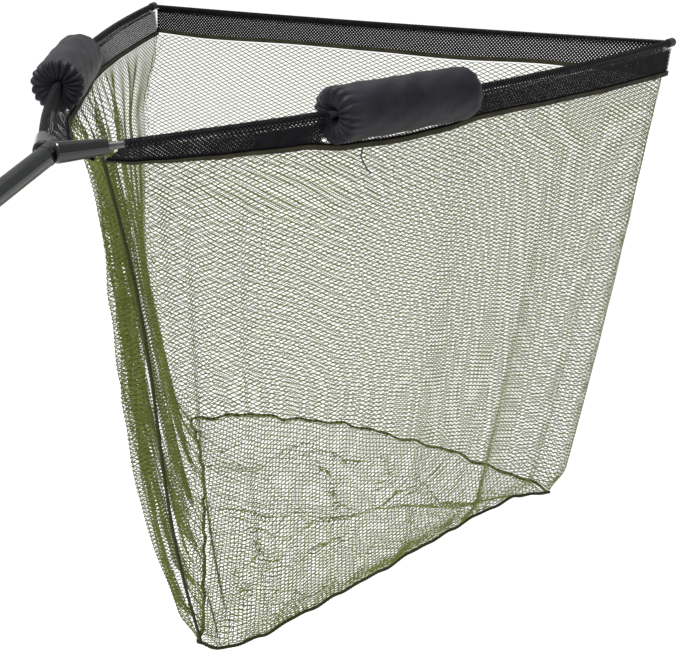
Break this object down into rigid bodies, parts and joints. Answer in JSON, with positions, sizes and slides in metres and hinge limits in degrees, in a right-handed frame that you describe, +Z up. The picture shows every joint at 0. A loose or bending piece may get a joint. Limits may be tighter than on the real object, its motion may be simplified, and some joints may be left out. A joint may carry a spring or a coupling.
{
  "type": "triangular fishing landing net with its frame",
  "caption": "Triangular landing net head: bowed arms in a spreader block, front cord, mesh bands, arm floats and a deep netting bag, with a handle stub.",
  "frame": {"origin": "centre of the cut end of the handle stub", "axes": "+X forwards from the handle to the front cord, parallel to the plane of the arms; +Z up; the near arm lies towards -Y and the far arm towards +Y"},
  "size_m": [1.083, 0.9407, 0.8402],
  "materials": {
    "black_plastic": "gloss black moulded plastic",
    "pole": "gloss black pole",
    "arm": "smooth grey rod",
    "cap": "matt black",
    "cord": "black twisted cord",
    "band": "fine black mesh cloth",
    "float_cover": "charcoal nylon with a soft sheen",
    "netting": "knotless olive netting",
    "binding": "dark olive overlocked thread"
  },
  "bodies": {
    "root": {"spreader_block": "black_plastic", "handle_stub": "pole", "arm_near": "arm", "arm_far": "arm", "tip_cap_near": "cap", "tip_cap_far": "cap", "front_cord": "cord", "band_near": "band", "band_far": "band", "band_front": "band", "float_near": "float_cover", "float_far": "float_cover", "float_tie_near": "cord", "side_mesh": "netting", "bottom_panel": "netting", "rear_seam": "binding", "bottom_seam": "binding"}
  },
  "joints": []
}
